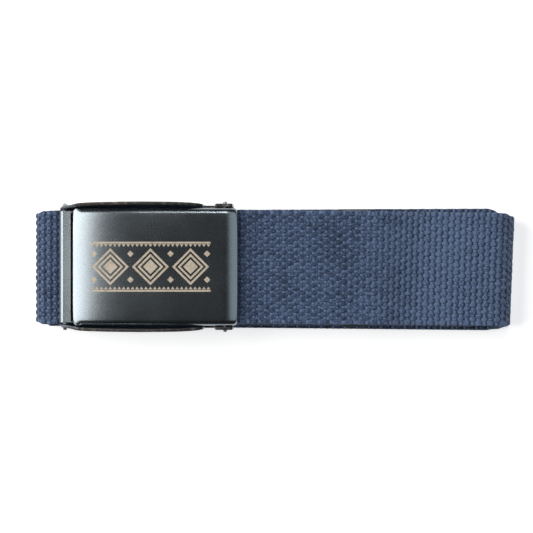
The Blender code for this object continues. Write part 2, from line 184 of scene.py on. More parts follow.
class Finish(Graph):
    """A material with its Principled shader."""

    def __init__(self, name, **constants):
        self.material = bpy.data.materials.new(name)
        self.material.use_nodes = True
        super().__init__(self.material.node_tree)
        self.shader = self.tree.nodes["Principled BSDF"]
        self.place = self.node("ShaderNodeTexCoord").output("Object")
        for socket, value in constants.items():
            self.shader.inputs[socket.replace("_", " ")].default_value = value

    def feed(self, socket, wire):
        self.tree.links.new(wire.socket, self.shader.inputs[socket])

    def noise(self, scale, detail=3.0, roughness=0.5):
        values = {"Vector": self.place, "Scale": scale, "Detail": detail, "Roughness": roughness}
        return self.node("ShaderNodeTexNoise", {}, values)

    def blend(self, share, first, second):
        """The first colour where share is 0, the second where it is 1."""
        values = {0: share, 6: first, 7: second}
        return self.node("ShaderNodeMix", {"data_type": "RGBA"}, values, 2)

    def band(self, value, low, high):
        """0 below low, 1 above high."""
        values = {"Value": value, "From Min": low, "From Max": high}
        return self.node("ShaderNodeMapRange", {"interpolation_type": "SMOOTHSTEP"}, values)

    def bump(self, height, distance):
        bumped = self.node("ShaderNodeBump", {}, {"Height": height, "Distance": distance})
        self.feed("Normal", bumped)


def add_piece(name, mesh, *finishes):
    piece = bpy.data.objects.new(name, mesh)
    bpy.context.scene.collection.objects.link(piece)
    piece.data.materials.clear()
    for finish in finishes:
        piece.data.materials.append(finish.material)
    return piece


card = Finish("white_card", Roughness=0.9, Emission_Strength=0.6)
card.shader.inputs["Emission Color"].default_value = CARD_GLOW
card.feed("Base Color", card.blend(card.noise(scale=6.0), CARD_GREY, CARD_WHITE))
floor_mesh = bpy.data.meshes.new("floor")
floor_mesh.from_pydata(
    [(x * FLOOR_SIDE, y * FLOOR_SIDE, 0.0) for x, y in ((-1, -1), (1, -1), (1, 1), (-1, 1))],
    [],
    [(0, 1, 2, 3)],
)
add_piece("floor", floor_mesh, card)

# Webbing
# One length of plain-woven cotton, 38 mm wide: 31 thick warp ends run along the belt and pass over
# and under the weft in turn, so both faces are rows of pebbles in half-drop. The length is folded
# into three panels, led through the buckle and gripped at its fixed end.

WEB_THICKNESS = 0.002
HALF_WEB = WEB_THICKNESS / 2
WEB_WIDTH = 0.038
HALF_WIDTH = WEB_WIDTH / 2
SEAT_GAP = 0.0003
LAYER_STEP = WEB_THICKNESS + SEAT_GAP
LAYERS_UNDER_TAIL = 5
FRAME_SHEET = 0.001
TIP_SHEET = 0.0004
CLAMP_LOOP = 0.0015
CLAMP_REACH = 0.0036
FRONT_SPRING = 0.0006
FOLD_PINCH = 0.0008
FOLD_SLANT = 0.04
GAP_INNER_FOLD = 0.0048
GAP_LEFT_CORE = 0.0032
GAP_LOOSE_END = 0.0165
GAP_BOTTOM_END = 0.0035
SETTLING = 5 * WEB_THICKNESS
LEVEL_STRETCH = 2 * WEB_THICKNESS
PAST_TIP = 9 * WEB_THICKNESS
TAIL_RISE = 3.5 * WEB_THICKNESS
INTO_TIP = 1.5 * WEB_THICKNESS

packet_low, packet_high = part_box("web")
frame_low, frame_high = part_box("frame")
tip_low, tip_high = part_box("web_tip")
clamp_low, clamp_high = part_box("strap_clamp")
LAYER = [HALF_WEB + LAYER_STEP * i for i in range(LAYERS_UNDER_TAIL)]
THREADED = frame_low.z + FRAME_SHEET + SEAT_GAP + HALF_WEB
TAIL = LAYER[-1] + LAYER_STEP
OVER_TAIL = TAIL + LAYER_STEP
IN_TIP = (tip_low.z + tip_high.z) / 2
OVER_TIP = tip_high.z + SEAT_GAP + HALF_WEB
CLAMP_X = clamp_low.x + CLAMP_LOOP
CLAMP_Z = (clamp_low.z + clamp_high.z) / 2

# How far the strap lies off the belt's middle line at each turn, as shares of its half width.
DRIFT_CLAMP = 0.006
DRIFT_RIGHT_TOP = -0.045
DRIFT_RIGHT_BOTTOM = -0.116
DRIFT_BOTTOM_LEFT = -0.05
DRIFT_INNER_BOTTOM = -0.128
DRIFT_INNER_TOP = 0.028
DRIFT_CORE_LEFT = -0.01
DRIFT_LOOSE_RIGHT = -0.06
DRIFT_OUTER_LEFT = -0.018
DRIFT_FRAME = -0.002
DRIFT_TAIL_END = -0.022

STEP_SAMPLES = 17
TURN_SAMPLES = 28
WIDE_TURN_SAMPLES = 36
COINCIDENT = SEAT_GAP / 10


def ease(share):
    return share * share * (3 - 2 * share)


def straight_run(start, end, level, drift, slant=(0.0, 0.0), steps=()):
    """Points (x, z, sideways, slant, pinch) of a run, easing to a new level at each step."""
    places = [(start, level)]
    for step_start, step_end, step_level in steps:
        for i in range(STEP_SAMPLES):
            share = i / (STEP_SAMPLES - 1)
            x = step_start + (step_end - step_start) * share
            places.append((x, level + (step_level - level) * ease(share)))
        level = step_level
    places.append((end, level))
    points = []
    for x, z in places:
        share = (x - start) / (end - start)
        y = HALF_WIDTH * (drift[0] + (drift[1] - drift[0]) * share)
        points.append((x, z, y, slant[0] + (slant[1] - slant[0]) * ease(share), 0.0))
    return points


def fold(centre, side, levels, drift, slant=0.0, pinch=0.0, samples=TURN_SAMPLES):
    """Points of a half turn that bulges to the right (side 1) or to the left (side -1)."""
    radius = abs(levels[1] - levels[0]) / 2
    middle = (levels[0] + levels[1]) / 2
    points = []
    for i in range(1, samples):
        share = i / samples
        turn = math.pi * share
        y = HALF_WIDTH * (drift[0] + (drift[1] - drift[0]) * share)
        narrowing = pinch * max(0.0, 2 * math.sin(turn) - 1)
        x = centre + side * radius * math.sin(turn)
        points.append((x, middle + (levels[0] - middle) * math.cos(turn), y, slant, narrowing))
    return points


outer_radius = (TAIL - LAYER[0]) / 2
inner_radius = (LAYER[4] - LAYER[1]) / 2
threaded_radius = (THREADED - LAYER[2]) / 2
tight_radius = LAYER_STEP / 2
outer_right = packet_high.x - FOLD_SLANT * (HALF_WIDTH - FOLD_PINCH) - HALF_WEB - outer_radius
inner_right = packet_high.x - GAP_INNER_FOLD - HALF_WEB - inner_radius
loose_right = packet_high.x - GAP_LOOSE_END
outer_left = packet_low.x + HALF_WEB + threaded_radius
core_left = packet_low.x + GAP_LEFT_CORE + HALF_WEB + tight_radius
bottom_left = packet_low.x + GAP_BOTTOM_END + HALF_WEB + tight_radius
settled = frame_high.x + SETTLING
front_steps = (
    (CLAMP_X + CLAMP_REACH, settled, OVER_TAIL + FRONT_SPRING),
    (settled + LEVEL_STRETCH, tip_low.x, OVER_TIP),
    (tip_high.x + SEAT_GAP, tip_high.x + PAST_TIP, TAIL),
)
tail_steps = (
    (frame_high.x + SEAT_GAP, frame_high.x + TAIL_RISE, TAIL),
    (tip_low.x - INTO_TIP, tip_low.x - SEAT_GAP, IN_TIP),
)
tail_end = tip_high.x - TIP_SHEET - SEAT_GAP

front = straight_run(
    CLAMP_X + CLAMP_LOOP, outer_right, CLAMP_Z,
    (DRIFT_CLAMP, DRIFT_RIGHT_TOP), (0.0, FOLD_SLANT), front_steps,
)
front += fold(
    outer_right, 1, (TAIL, LAYER[0]),
    (DRIFT_RIGHT_TOP, DRIFT_RIGHT_BOTTOM), FOLD_SLANT, FOLD_PINCH, WIDE_TURN_SAMPLES,
)
bottom = straight_run(
    outer_right, bottom_left, LAYER[0], (DRIFT_RIGHT_BOTTOM, DRIFT_BOTTOM_LEFT), (FOLD_SLANT, 0.0)
)
bottom += fold(bottom_left, -1, (LAYER[0], LAYER[1]), (DRIFT_BOTTOM_LEFT, DRIFT_BOTTOM_LEFT))
inside = straight_run(bottom_left, inner_right, LAYER[1], (DRIFT_BOTTOM_LEFT, DRIFT_INNER_BOTTOM))
inside += fold(
    inner_right, 1, (LAYER[1], LAYER[4]), (DRIFT_INNER_BOTTOM, DRIFT_INNER_TOP), pinch=FOLD_PINCH
)
inside += straight_run(inner_right, core_left, LAYER[4], (DRIFT_INNER_TOP, DRIFT_CORE_LEFT))
inside += fold(core_left, -1, (LAYER[4], LAYER[3]), (DRIFT_CORE_LEFT, DRIFT_CORE_LEFT))
inside += straight_run(core_left, loose_right, LAYER[3], (DRIFT_CORE_LEFT, DRIFT_LOOSE_RIGHT))
inside += fold(loose_right, 1, (LAYER[3], LAYER[2]), (DRIFT_LOOSE_RIGHT, DRIFT_LOOSE_RIGHT))
inside += straight_run(loose_right, outer_left, LAYER[2], (DRIFT_LOOSE_RIGHT, DRIFT_OUTER_LEFT))
left_turn = fold(
    outer_left, -1, (LAYER[2], THREADED),
    (DRIFT_OUTER_LEFT, DRIFT_OUTER_LEFT), pinch=FOLD_PINCH, samples=WIDE_TURN_SAMPLES,
)
left_turn += straight_run(outer_left, frame_low.x, THREADED, (DRIFT_OUTER_LEFT, DRIFT_FRAME))
tail = straight_run(frame_low.x, tail_end, THREADED, (DRIFT_FRAME, DRIFT_TAIL_END), steps=tail_steps)


def route_length(points):
    pairs = zip(points, points[1:])
    return sum(math.hypot(b[0] - a[0], b[1] - a[1]) for a, b in pairs)


def spaced(points):
    """The route without points that lie on the one before them."""
    kept = [points[0]]
    for point in points[1:]:
        if math.hypot(point[0] - kept[-1][0], point[1] - kept[-1][1]) > COINCIDENT:
            kept.append(point)
    return kept


def route_mesh(name, points):
    """The webbing's middle line as a wire that carries its slant and pinch at each point."""
    kept = spaced(points)
    mesh = bpy.data.meshes.new(name)
    edges = [(i, i + 1) for i in range(len(kept) - 1)]
    mesh.from_pydata([(x, y, z) for x, z, y, _, _ in kept], edges, [])
    for label, column in (("slant", 3), ("pinch", 4)):
        layer = mesh.attributes.new(label, "FLOAT", "POINT")
        layer.data.foreach_set("value", [point[column] for point in kept])
    return mesh


def tree_inputs(name, inputs):
    """A Geometry Nodes tree with named inputs, and a Wire for each of them."""
    tree = bpy.data.node_groups.new(name, "GeometryNodeTree")
    tree.interface.new_socket("Geometry", in_out="INPUT", socket_type="NodeSocketGeometry")
    for label, kind in inputs.items():
        tree.interface.new_socket(label, in_out="INPUT", socket_type="NodeSocket" + kind)
    tree.interface.new_socket("Geometry", in_out="OUTPUT", socket_type="NodeSocketGeometry")
    graph = Graph(tree)
    entry = graph.node("NodeGroupInput")
    return graph, {label: entry.output(label) for label in ["Geometry", *inputs]}


def close_tree(graph, geometry, material):
    """Ends a tree in Realize Instances and Set Material."""
    realized = graph.node("GeometryNodeRealizeInstances", {}, {"Geometry": geometry})
    painted = graph.node("GeometryNodeSetMaterial", {}, {"Geometry": realized, "Material": material})
    leaving = graph.tree.nodes.new("NodeGroupOutput")
    graph.tree.links.new(painted.socket, leaving.inputs[0])


def grown(name, start_mesh, tree, sizes):
    """The plain mesh piece that a tree makes from a start mesh."""
    piece = bpy.data.objects.new(name, start_mesh)
    modifier = piece.modifiers.new("grow", "NODES")
    modifier.node_group = tree
    for item in tree.interface.items_tree:
        if item.in_out == "INPUT" and item.name in sizes:
            modifier[item.identifier] = sizes[item.name]
    bpy.context.scene.collection.objects.link(piece)
    depsgraph = bpy.context.evaluated_depsgraph_get()
    finished = bpy.data.meshes.new_from_object(piece.evaluated_get(depsgraph), depsgraph=depsgraph)
    finished.name = name
    piece.modifiers.remove(modifier)
    piece.data = finished
    return piece


NAVY_DEEP = (0.009, 0.019, 0.046, 1.0)
NAVY = (0.042, 0.072, 0.149, 1.0)
NAVY_PALE = (0.135, 0.198, 0.342, 1.0)
FIBRE_SCALE = 1500.0
FUZZ_SCALE = 3400.0
CLOUD_SCALE = 55.0
FIBRE_CONTRAST = 2.8
FUZZ_CONTRAST = 1.5
CLOUD_CONTRAST = 0.5
PEBBLE_CONTRAST = 0.2
FIBRE_RELIEF = 0.0003
RIGHT_FOLD_BAND = (0.02, 0.05)
LEFT_BAND = (0.07, 0.07 + WEB_THICKNESS)
DIP_BAND = (0.5, 0.85)
FLANK_BAND = (0.1, 0.6)
DIP_HIGHLIGHT = 1.15
FLANK_LIGHT = 0.08
FLANK_SHADOW = 0.7
CROWN_LIGHT = 0.1
RIGHT_FOLD_LIGHT = 0.31


def spread(amount, noise):
    """A noise of 0 to 1, centred on nothing and scaled to the amount."""
    return amount * (noise - 0.5)


def dyed_yarn(name, shade):
    """Navy cotton, with a painted highlight where a yarn dives under, paler towards the right fold.

    Near both folds painted shade on the flanks parts the crowns. The lightness, which holds painted
    light and shade as well as the grain, runs from deep navy through navy to pale navy.
    """
    cotton = Finish(name, Roughness=0.95, Sheen_Weight=0.1, Sheen_Roughness=0.6)
    tone = cotton.node("ShaderNodeAttribute", {"attribute_name": "tone"}, {}, 2)
    relief = cotton.node("ShaderNodeAttribute", {"attribute_name": "relief"}, {}, 2)
    fibre = cotton.noise(FIBRE_SCALE, detail=4.0, roughness=0.7)
    fuzz = cotton.noise(FUZZ_SCALE, detail=2.0, roughness=0.6)
    cloudy = cotton.noise(CLOUD_SCALE)
    along = cotton.node("ShaderNodeSeparateXYZ", {}, {"Vector": cotton.place})
    # Paler towards the right fold; this band and the one at the left fold also set where the painted
    # relief shading goes.
    toward_right_fold = cotton.band(along, *RIGHT_FOLD_BAND)
    painted_relief_near_folds = toward_right_fold + cotton.band(-1 * along, *LEFT_BAND)
    # Painted highlight where a yarn dives under, lifting the shade that the crowns beside it cast
    # there.
    painted_dip_highlight = cotton.band(-1 * relief, *DIP_BAND)
    # Painted light lifts the flanks a little everywhere; near the folds painted shade darkens them so
    # that the crowns stand out.
    on_flank = 1 - cotton.band(abs(relief), *FLANK_BAND)
    grain = spread(FIBRE_CONTRAST, fibre) + spread(FUZZ_CONTRAST, fuzz)
    grain = grain + spread(CLOUD_CONTRAST, cloudy) + spread(PEBBLE_CONTRAST, tone)
    light = shade + DIP_HIGHLIGHT * painted_dip_highlight + on_flank * (FLANK_LIGHT - FLANK_SHADOW * painted_relief_near_folds)
    light = light + CROWN_LIGHT * painted_relief_near_folds
    light = light + RIGHT_FOLD_LIGHT * toward_right_fold + grain
    # Three shades in turn; the lightness they follow holds painted highlight and shade as well as the
    # fibre grain.
    ground = cotton.blend((2 * light).clamp(), NAVY_DEEP, NAVY)
    cotton.feed("Base Color", cotton.blend((2 * light - 1).clamp(), ground, NAVY_PALE))
    cotton.bump(fibre, FIBRE_RELIEF)
    return cotton


yarn = dyed_yarn("navy_cotton_yarn", shade=0.5)
# The underside and inner layers take a much darker navy: painted shade for layers that lie under the
# top one, in its shadow.
painted_shade_yarn = dyed_yarn("unfaded_cotton_yarn", shade=0.15)

WANDER_SCALE = 420.0
WANDER_BETWEEN_ENDS = 0.0137
WANDER_SLICE = 0.5
SIDEWAYS_WANDER = 0.6
LIFT_WANDER = 0.5
SWELL_WANDER = 0.3
SELVEDGE_EVENNESS = 0.7
WAIST = 0.2
PEBBLE_START = 0.25
TONE_STRIDE = 1013.0
TONE_SEED = 7
SIDEWAYS = (0.0, 1.0, 0.0)

graph, size = tree_inputs("woven_warp", {
    "Start": "Float",
    "Ends": "Int",
    "End Pitch": "Float",
    "Pick Pitch": "Float",
    "Steps Per Pick": "Float",
    "Crimp": "Float",
    "Yarn Width": "Float",
    "Yarn Height": "Float",
    "Yarn Corner": "Float",
    "Skip Middle": "Float",
    "Yarn": "Material",
})


def stored(geometry, label, value, kind="FLOAT"):
    """The geometry with a named attribute on its points."""
    return graph.node("GeometryNodeStoreNamedAttribute", {"data_type": kind}, {
        "Geometry": geometry, "Name": label, "Value": value,
    })


def named(label, kind="FLOAT"):
    return graph.node("GeometryNodeInputNamedAttribute", {"data_type": kind}, {"Name": label})


def combined(x, y, z):
    return graph.node("ShaderNodeCombineXYZ", {}, {"X": x, "Y": y, "Z": z})


def broadened(wave):
    """A wave with broader crests and dips and steeper flanks."""
    return wave * (1.5 - 0.5 * wave * wave)


path = graph.node("GeometryNodeMeshToCurve", {}, {"Mesh": size["Geometry"]})
path = graph.node("GeometryNodeResampleCurve", {"mode": "LENGTH"}, {
    "Curve": path, "Length": size["Pick Pitch"] / size["Steps Per Pick"],
})
travel = graph.node("GeometryNodeSplineParameter").output("Length") + size["Start"]
path = stored(path, "travel", travel)
copies = graph.node("GeometryNodeDuplicateElements", {"domain": "SPLINE"}, {
    "Geometry": path, "Amount": size["Ends"],
})
copies = stored(copies, "end", copies.output("Duplicate Index"))
middle_end = (size["Ends"] - 1) / 2
from_middle = named("end") - middle_end
skipped = graph.node("FunctionNodeCompare", {"operation": "LESS_THAN"}, {
    0: abs(from_middle), 1: size["Skip Middle"],
})
ends = graph.node("GeometryNodeDeleteGeometry", {"domain": "POINT"}, {
    "Geometry": copies, "Selection": skipped,
})
picks = named("travel") / size["Pick Pitch"]
phase = ((picks + named("end")) * math.pi).maths("COSINE")
crest_share = broadened(broadened(phase))
wander = graph.node("ShaderNodeTexNoise", {}, {
    "Vector": combined(named("travel"), named("end") * WANDER_BETWEEN_ENDS, WANDER_SLICE),
    "Scale": WANDER_SCALE,
    "Detail": 1.0,
})
selvedge = (abs(from_middle) - (middle_end - 1)).clamp()
freedom = 1 - SELVEDGE_EVENNESS * selvedge
unevenness = (wander - 0.5) * freedom
across = from_middle * size["End Pitch"] * (1 - named("pinch") / HALF_WIDTH)
across = across + unevenness * size["End Pitch"] * SIDEWAYS_WANDER
lift = crest_share * size["Crimp"] * (1 + LIFT_WANDER * unevenness)
up = graph.node("ShaderNodeVectorMath", {"operation": "CROSS_PRODUCT"}, {
    0: graph.node("GeometryNodeInputTangent"), 1: SIDEWAYS,
})
ends = stored(ends, "outward", up, "FLOAT_VECTOR")
ends = stored(ends, "crest", phase)
raised = graph.node("ShaderNodeVectorMath", {"operation": "SCALE"}, {0: up, "Scale": lift})
offset = graph.node("ShaderNodeVectorMath", {"operation": "ADD"}, {
    0: raised, 1: combined(across * named("slant"), across, 0.0),
})
ends = graph.node("GeometryNodeSetPosition", {}, {"Geometry": ends, "Offset": offset})
ends = graph.node("GeometryNodeSetCurveNormal", {"mode": "FREE"}, {"Curve": ends, "Normal": SIDEWAYS})
oblong = graph.node("GeometryNodeCurvePrimitiveQuadrilateral", {"mode": "RECTANGLE"}, {
    "Width": size["Yarn Width"], "Height": size["Yarn Height"],
})
pressed = graph.node("GeometryNodeFilletCurve", {"mode": "POLY"}, {
    "Curve": oblong, "Count": 1, "Radius": size["Yarn Corner"],
})
pebble = ((picks + named("end")) / 2 + PEBBLE_START).maths("FLOOR")
tone_seed = graph.node("ShaderNodeMath", {"operation": "MULTIPLY_ADD"}, {
    0: named("end"), 1: TONE_STRIDE, 2: pebble,
})
tone = graph.node("FunctionNodeRandomValue", {}, {"ID": tone_seed, "Seed": TONE_SEED}, 1)
ends = stored(ends, "tone", tone)
waist = WAIST * (1 - phase * phase) * freedom
swell = 1 - waist + SWELL_WANDER * unevenness
tubes = graph.node("GeometryNodeCurveToMesh", {}, {
    "Curve": ends, "Profile Curve": pressed, "Scale": swell, "Fill Caps": True,
})
facing = graph.node("ShaderNodeVectorMath", {"operation": "DOT_PRODUCT"}, {
    0: graph.node("GeometryNodeInputNormal"), 1: named("outward", "FLOAT_VECTOR"),
}, 1)
tubes = stored(tubes, "relief", facing * named("crest"))
tubes = graph.node("GeometryNodeSetShadeSmooth", {}, {"Geometry": tubes})
close_tree(graph, tubes, size["Yarn"])

WARP_ENDS = 31
END_PITCH = 0.001215
PICK_PITCH = 0.00203
CRIMP = 0.0002
YARN_WIDTH = 0.00195
YARN_HEIGHT = 0.0016
YARN_CORNER = 0.00045
FINE_STEPS = 6.0
COARSE_STEPS = 4.0
HIDDEN_HALF = 12.5
PANELS = (
    ("webbing_front", front, FINE_STEPS, yarn, 0.0),
    ("webbing_underside", bottom, COARSE_STEPS, painted_shade_yarn, 0.0),
    ("webbing_inner_selvedges", inside, COARSE_STEPS, painted_shade_yarn, HIDDEN_HALF),
    ("webbing_left_fold", left_turn, FINE_STEPS, yarn, 0.0),
    ("webbing_threaded", tail, COARSE_STEPS, yarn, 0.0),
)

pieces = []
travelled = 0.0
for name, route, steps, cotton, skip_middle in PANELS:
    pieces.append(grown(name, route_mesh(name, route), graph.tree, {
        "Start": travelled,
        "Ends": WARP_ENDS,
        "End Pitch": END_PITCH,
        "Pick Pitch": PICK_PITCH,
        "Steps Per Pick": steps,
        "Crimp": CRIMP,
        "Yarn Width": YARN_WIDTH,
        "Yarn Height": YARN_HEIGHT,
        "Yarn Corner": YARN_CORNER,
        "Skip Middle": skip_middle,
        "Yarn": cotton.material,
    }))
    travelled += route_length(route)

# Weft
# The cross yarns inside the webbing, of the same cotton, beaten in between the warp ends. They show
# only as shade between them, so they are one flat ribbon that follows the whole route, coloured a
# darker navy than the warp as painted shade.

CORE_THICKNESS = 0.0008
CORE_EDGE_GAP = 0.0007
WEFT_LIGHT = (0.03, 0.05, 0.1, 1.0)
WEFT_RELIEF = 0.0002


def walls(shape, rings):
    """Faces between each ring of vertices and the next."""
    count = len(rings[0])
    for ring, following in zip(rings, rings[1:]):
        for i in range(count):
            j = (i + 1) % count
            shape.faces.new((ring[i], ring[j], following[j], following[i]))


def closed_tube(shape, rings):
    """Walls between the rings, and a cap on the first and on the last."""
    walls(shape, rings)
    shape.faces.new(rings[0])
    shape.faces.new(list(reversed(rings[-1])))


def finished_mesh(name, shape):
    """The mesh of a closed shape, with its faces turned outward."""
    bmesh.ops.recalc_face_normals(shape, faces=shape.faces)
    mesh = bpy.data.meshes.new(name)
    shape.to_mesh(mesh)
    shape.free()
    return mesh


def core_mesh(name, points):
    """A ribbon of even thickness round the route."""
    shape = bmesh.new()
    rings = []
    kept = spaced(points)
    for i, (x, z, y, slant, pinch) in enumerate(kept):
        before = kept[max(0, i - 1)]
        after = kept[min(len(kept) - 1, i + 1)]
        along = Vector((after[0] - before[0], 0, after[1] - before[1])).normalized()
        up = Vector((-along.z, 0, along.x)) * CORE_THICKNESS / 2
        edge = HALF_WIDTH - CORE_EDGE_GAP - pinch
        ring = []
        for side, lift in ((1, -1), (1, 1), (-1, 1), (-1, -1)):
            corner = Vector((x + slant * side * edge, y + side * edge, z)) + up * lift
            ring.append(shape.verts.new(corner))
        rings.append(ring)
    closed_tube(shape, rings)
    return finished_mesh(name, shape)


weft = Finish("navy_weft", Roughness=0.97)
# A darker navy than the warp's: painted shade for the gaps between the warp ends.
weft.feed("Base Color", weft.blend(weft.noise(FIBRE_SCALE), NAVY_DEEP, WEFT_LIGHT))
weft.bump(weft.noise(FIBRE_SCALE), WEFT_RELIEF)
whole_route = front + bottom + inside + left_turn + tail
pieces.append(add_piece("webbing_wefts", core_mesh("webbing_wefts", whole_route), weft))

for piece in pieces:
    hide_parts("web")
    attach(piece, "belt")

# Free end's tip
# A shallow pocket of thin steel sheet, plated in dull black and pressed over the webbing's cut end
# so that it can't fray.

DARK_PLATE = (0.212, 0.24, 0.262)
PALE_PLATE = (0.26, 0.295, 0.32)
SMEAR_SCALE = 38.0
PLATE_GRAIN_SCALE = 3200.0
DUST_SCALE = 430.0
DUST_BAND = (0.79, 0.82)
SMEAR_DULLING = 0.14
GRAIN_DULLING = 0.12
DUST_DULLING = 0.3
MERGE = 0.00002
FLAT_WITHIN = math.radians(1)
TIP_EDGE = 0.0001


def plating(name, roughness, grain_depth, tint=1.0):
    """Black nickel with a fine grain, faint smears and a few specks of dust."""
    finish = Finish(name, Metallic=1.0)
    smear = finish.noise(SMEAR_SCALE, detail=4.0, roughness=0.6)
    grain = finish.noise(PLATE_GRAIN_SCALE, detail=3.0, roughness=0.6)
    dust = finish.band(finish.noise(DUST_SCALE, detail=1.0), *DUST_BAND)
    dark = tuple(channel * tint for channel in DARK_PLATE) + (1.0,)
    pale = tuple(channel * tint for channel in PALE_PLATE) + (1.0,)
    finish.feed("Base Color", finish.blend(smear, dark, pale))
    dulling = roughness + spread(SMEAR_DULLING, smear) + spread(GRAIN_DULLING, grain)
    finish.feed("Roughness", dulling + DUST_DULLING * dust)
    finish.bump(grain, grain_depth)
    return finish


satin_plate = plating("satin_black_nickel", roughness=0.265, grain_depth=0.000003)
gloss_plate = plating("gloss_black_nickel", roughness=0.3, grain_depth=0.000006, tint=1.5)
dull_plate = plating("dull_black_nickel", roughness=0.45, grain_depth=0.000006, tint=0.4)


def frame_copy(name, node):
    """A copy of a solid of the frame, with its triangles joined into whole faces."""
    shape = bmesh.new()
    shape.from_mesh(frame["nodes"][node].data)
    bmesh.ops.remove_doubles(shape, verts=shape.verts, dist=MERGE)
    bmesh.ops.dissolve_limit(shape, angle_limit=FLAT_WITHIN, verts=shape.verts, edges=shape.edges)
    mesh = bpy.data.meshes.new(name)
    shape.to_mesh(mesh)
    shape.free()
    return mesh


def round_edges(piece, width, segments=2, angle=32, material=-1):
    """Breaks a piece's sharp edges and shades what is left of its faces smooth."""
    piece.data.shade_smooth()
    bevel = piece.modifiers.new("broken_edges", "BEVEL")
    bevel.width = width
    bevel.segments = segments
    bevel.limit_method = "ANGLE"
    bevel.angle_limit = math.radians(angle)
    bevel.material = material
    bevel.harden_normals = True


tip = add_piece("pressed_tip", frame_copy("pressed_tip", "web_tip"), dull_plate)
round_edges(tip, TIP_EDGE)
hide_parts("web_tip")
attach(tip, "belt")

# Buckle frame
# One steel sheet, blanked, folded up into a trough with flared sides and black-plated. The blanking
# left the rims rough, and the plate is chipped there, except near the hinge.

FRAME_EDGE = 0.00022
SHADED_RIM_END = 0.005
RIM_FACING = 0.6
CHIP_BAND = (0.52, 0.66)
CHIP_RELIEF = 0.0001
CHIP_DULLING = 0.3
RIM_ROUGHNESS = 0.3
RIM_PLATED = (0.075, 0.07, 0.066, 1.0)
RIM_CHIPPED = (0.24, 0.225, 0.2, 1.0)

sheared_rim = Finish("sheared_rim", Metallic=1.0)
chips = sheared_rim.noise(scale=520.0, detail=4.0, roughness=0.75)
chipped = sheared_rim.band(chips, *CHIP_BAND)
sheared_rim.feed("Base Color", sheared_rim.blend(chipped, RIM_PLATED, RIM_CHIPPED))
sheared_rim.feed("Roughness", RIM_ROUGHNESS + CHIP_DULLING * chips)
sheared_rim.bump(chips, CHIP_RELIEF)

trough = add_piece(
    "buckle_frame", frame_copy("buckle_frame", "frame"), gloss_plate, sheared_rim, dull_plate
)
# Upward rim faces take the sheared finish; within a few millimetres of the hinge end they take the
# dark dull plate instead, painted shade where the rim would reflect the key light.
for face in trough.data.polygons:
    if face.normal.z > RIM_FACING and face.center.z > frame_low.z + 2 * FRAME_SHEET:
        face.material_index = 1 if face.center.x > frame_low.x + SHADED_RIM_END else 2
round_edges(trough, FRAME_EDGE, segments=3)
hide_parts("frame")
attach(trough, "belt")

# Cross pins
# Two steel wires pushed through the frame's walls: the lid turns on the left one, and the clamp
# hangs on the right one. Their ends are peened a little.

PIN_SIDES = 32
PIN_SHARP_ANGLE = math.radians(50)
# Distance from the pin's end and width there, each as a share of the pin's radius.
PEENED_END = ((0.0, 0.5), (0.12, 0.85), (0.35, 1.0))


def turned_pin(name, node):
    """A round pin as long and as thick as the solid that it replaces."""
    low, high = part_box(node)
    radius = (high.z - low.z) / 2
    x = (low.x + high.x) / 2
    z = (low.z + high.z) / 2
    profile = [(low.y + radius * inward, radius * wide) for inward, wide in PEENED_END]
    profile += [(high.y - (y - low.y), r) for y, r in reversed(profile)]
    turns = [2 * math.pi * i / PIN_SIDES for i in range(PIN_SIDES)]
    shape = bmesh.new()
    rings = []
    for y, r in profile:
        rings.append([shape.verts.new((x + r * math.cos(t), y, z + r * math.sin(t))) for t in turns])
    closed_tube(shape, rings)
    mesh = finished_mesh(name, shape)
    mesh.shade_smooth()
    mesh.set_sharp_from_angle(angle=PIN_SHARP_ANGLE)
    pin = add_piece(name, mesh, gloss_plate)
    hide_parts(node)
    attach(pin, "belt")


turned_pin("hinge_wire", "hinge_pin")
turned_pin("clamp_wire", "clamp_pin")

# Strap clamp
# A black-plated steel sheet, folded so that it hangs on the right pin and bites the webbing's fixed
# end. Its edges are rubbed bare.

CLAMP_EDGE = 0.0001
RUB_BAND = (0.35, 0.6)
RUB_RELIEF = 0.00004
RUB_DULLING = 0.3
EDGE_ROUGHNESS = 0.45
EDGE_DARK = (0.08, 0.075, 0.07, 1.0)
BARE_STEEL = (0.14, 0.125, 0.105, 1.0)

bare_edge = Finish("bare_steel_edge", Metallic=0.7)
rub = bare_edge.noise(scale=700.0, detail=3.0, roughness=0.7)
rubbed = bare_edge.band(rub, *RUB_BAND)
bare_edge.feed("Base Color", bare_edge.blend(rubbed, EDGE_DARK, BARE_STEEL))
bare_edge.feed("Roughness", EDGE_ROUGHNESS + RUB_DULLING * rub)
bare_edge.bump(rub, RUB_RELIEF)

grip = add_piece("folded_clamp", frame_copy("folded_clamp", "strap_clamp"), gloss_plate, bare_edge)
round_edges(grip, CLAMP_EDGE, material=1)
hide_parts("strap_clamp")
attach(grip, "belt")

# Flip lever
# The lid's inner steel sheet: a flat lip on top, a knuckle rolled round the left pin, and a carrier
# that runs under the face plate and holds it.

LEVER_SHEET = 0.0008
LEVER_EDGE = 0.00012
LEVER_EDGE_INSET = 0.0019
KNUCKLE_RADIUS = 0.0017
KNUCKLE_RISE = 0.0007
KNUCKLE_CORNER = 0.0008
KNUCKLE_LIP = 0.00215
KNUCKLE_TILT = 0.0003
KNUCKLE_END_ANGLE = 305
KNUCKLE_STEPS = 24
LIP_CORNER_STEPS = 10
CARRIER_STEPS = 40
FACE_CREST = 0.0043
FACE_CREST_PLACE = 0.55
FACE_LEFT_DROP = 0.0022
FACE_RIGHT_DROP = 0.0004
FACE_CROSS_CROWN = 0.0004
FACE_SHEET = 0.0008
BEVEL_LENGTH = 0.0046
BEVEL_DROP = 0.001
BEVEL_CURVE = 1.7

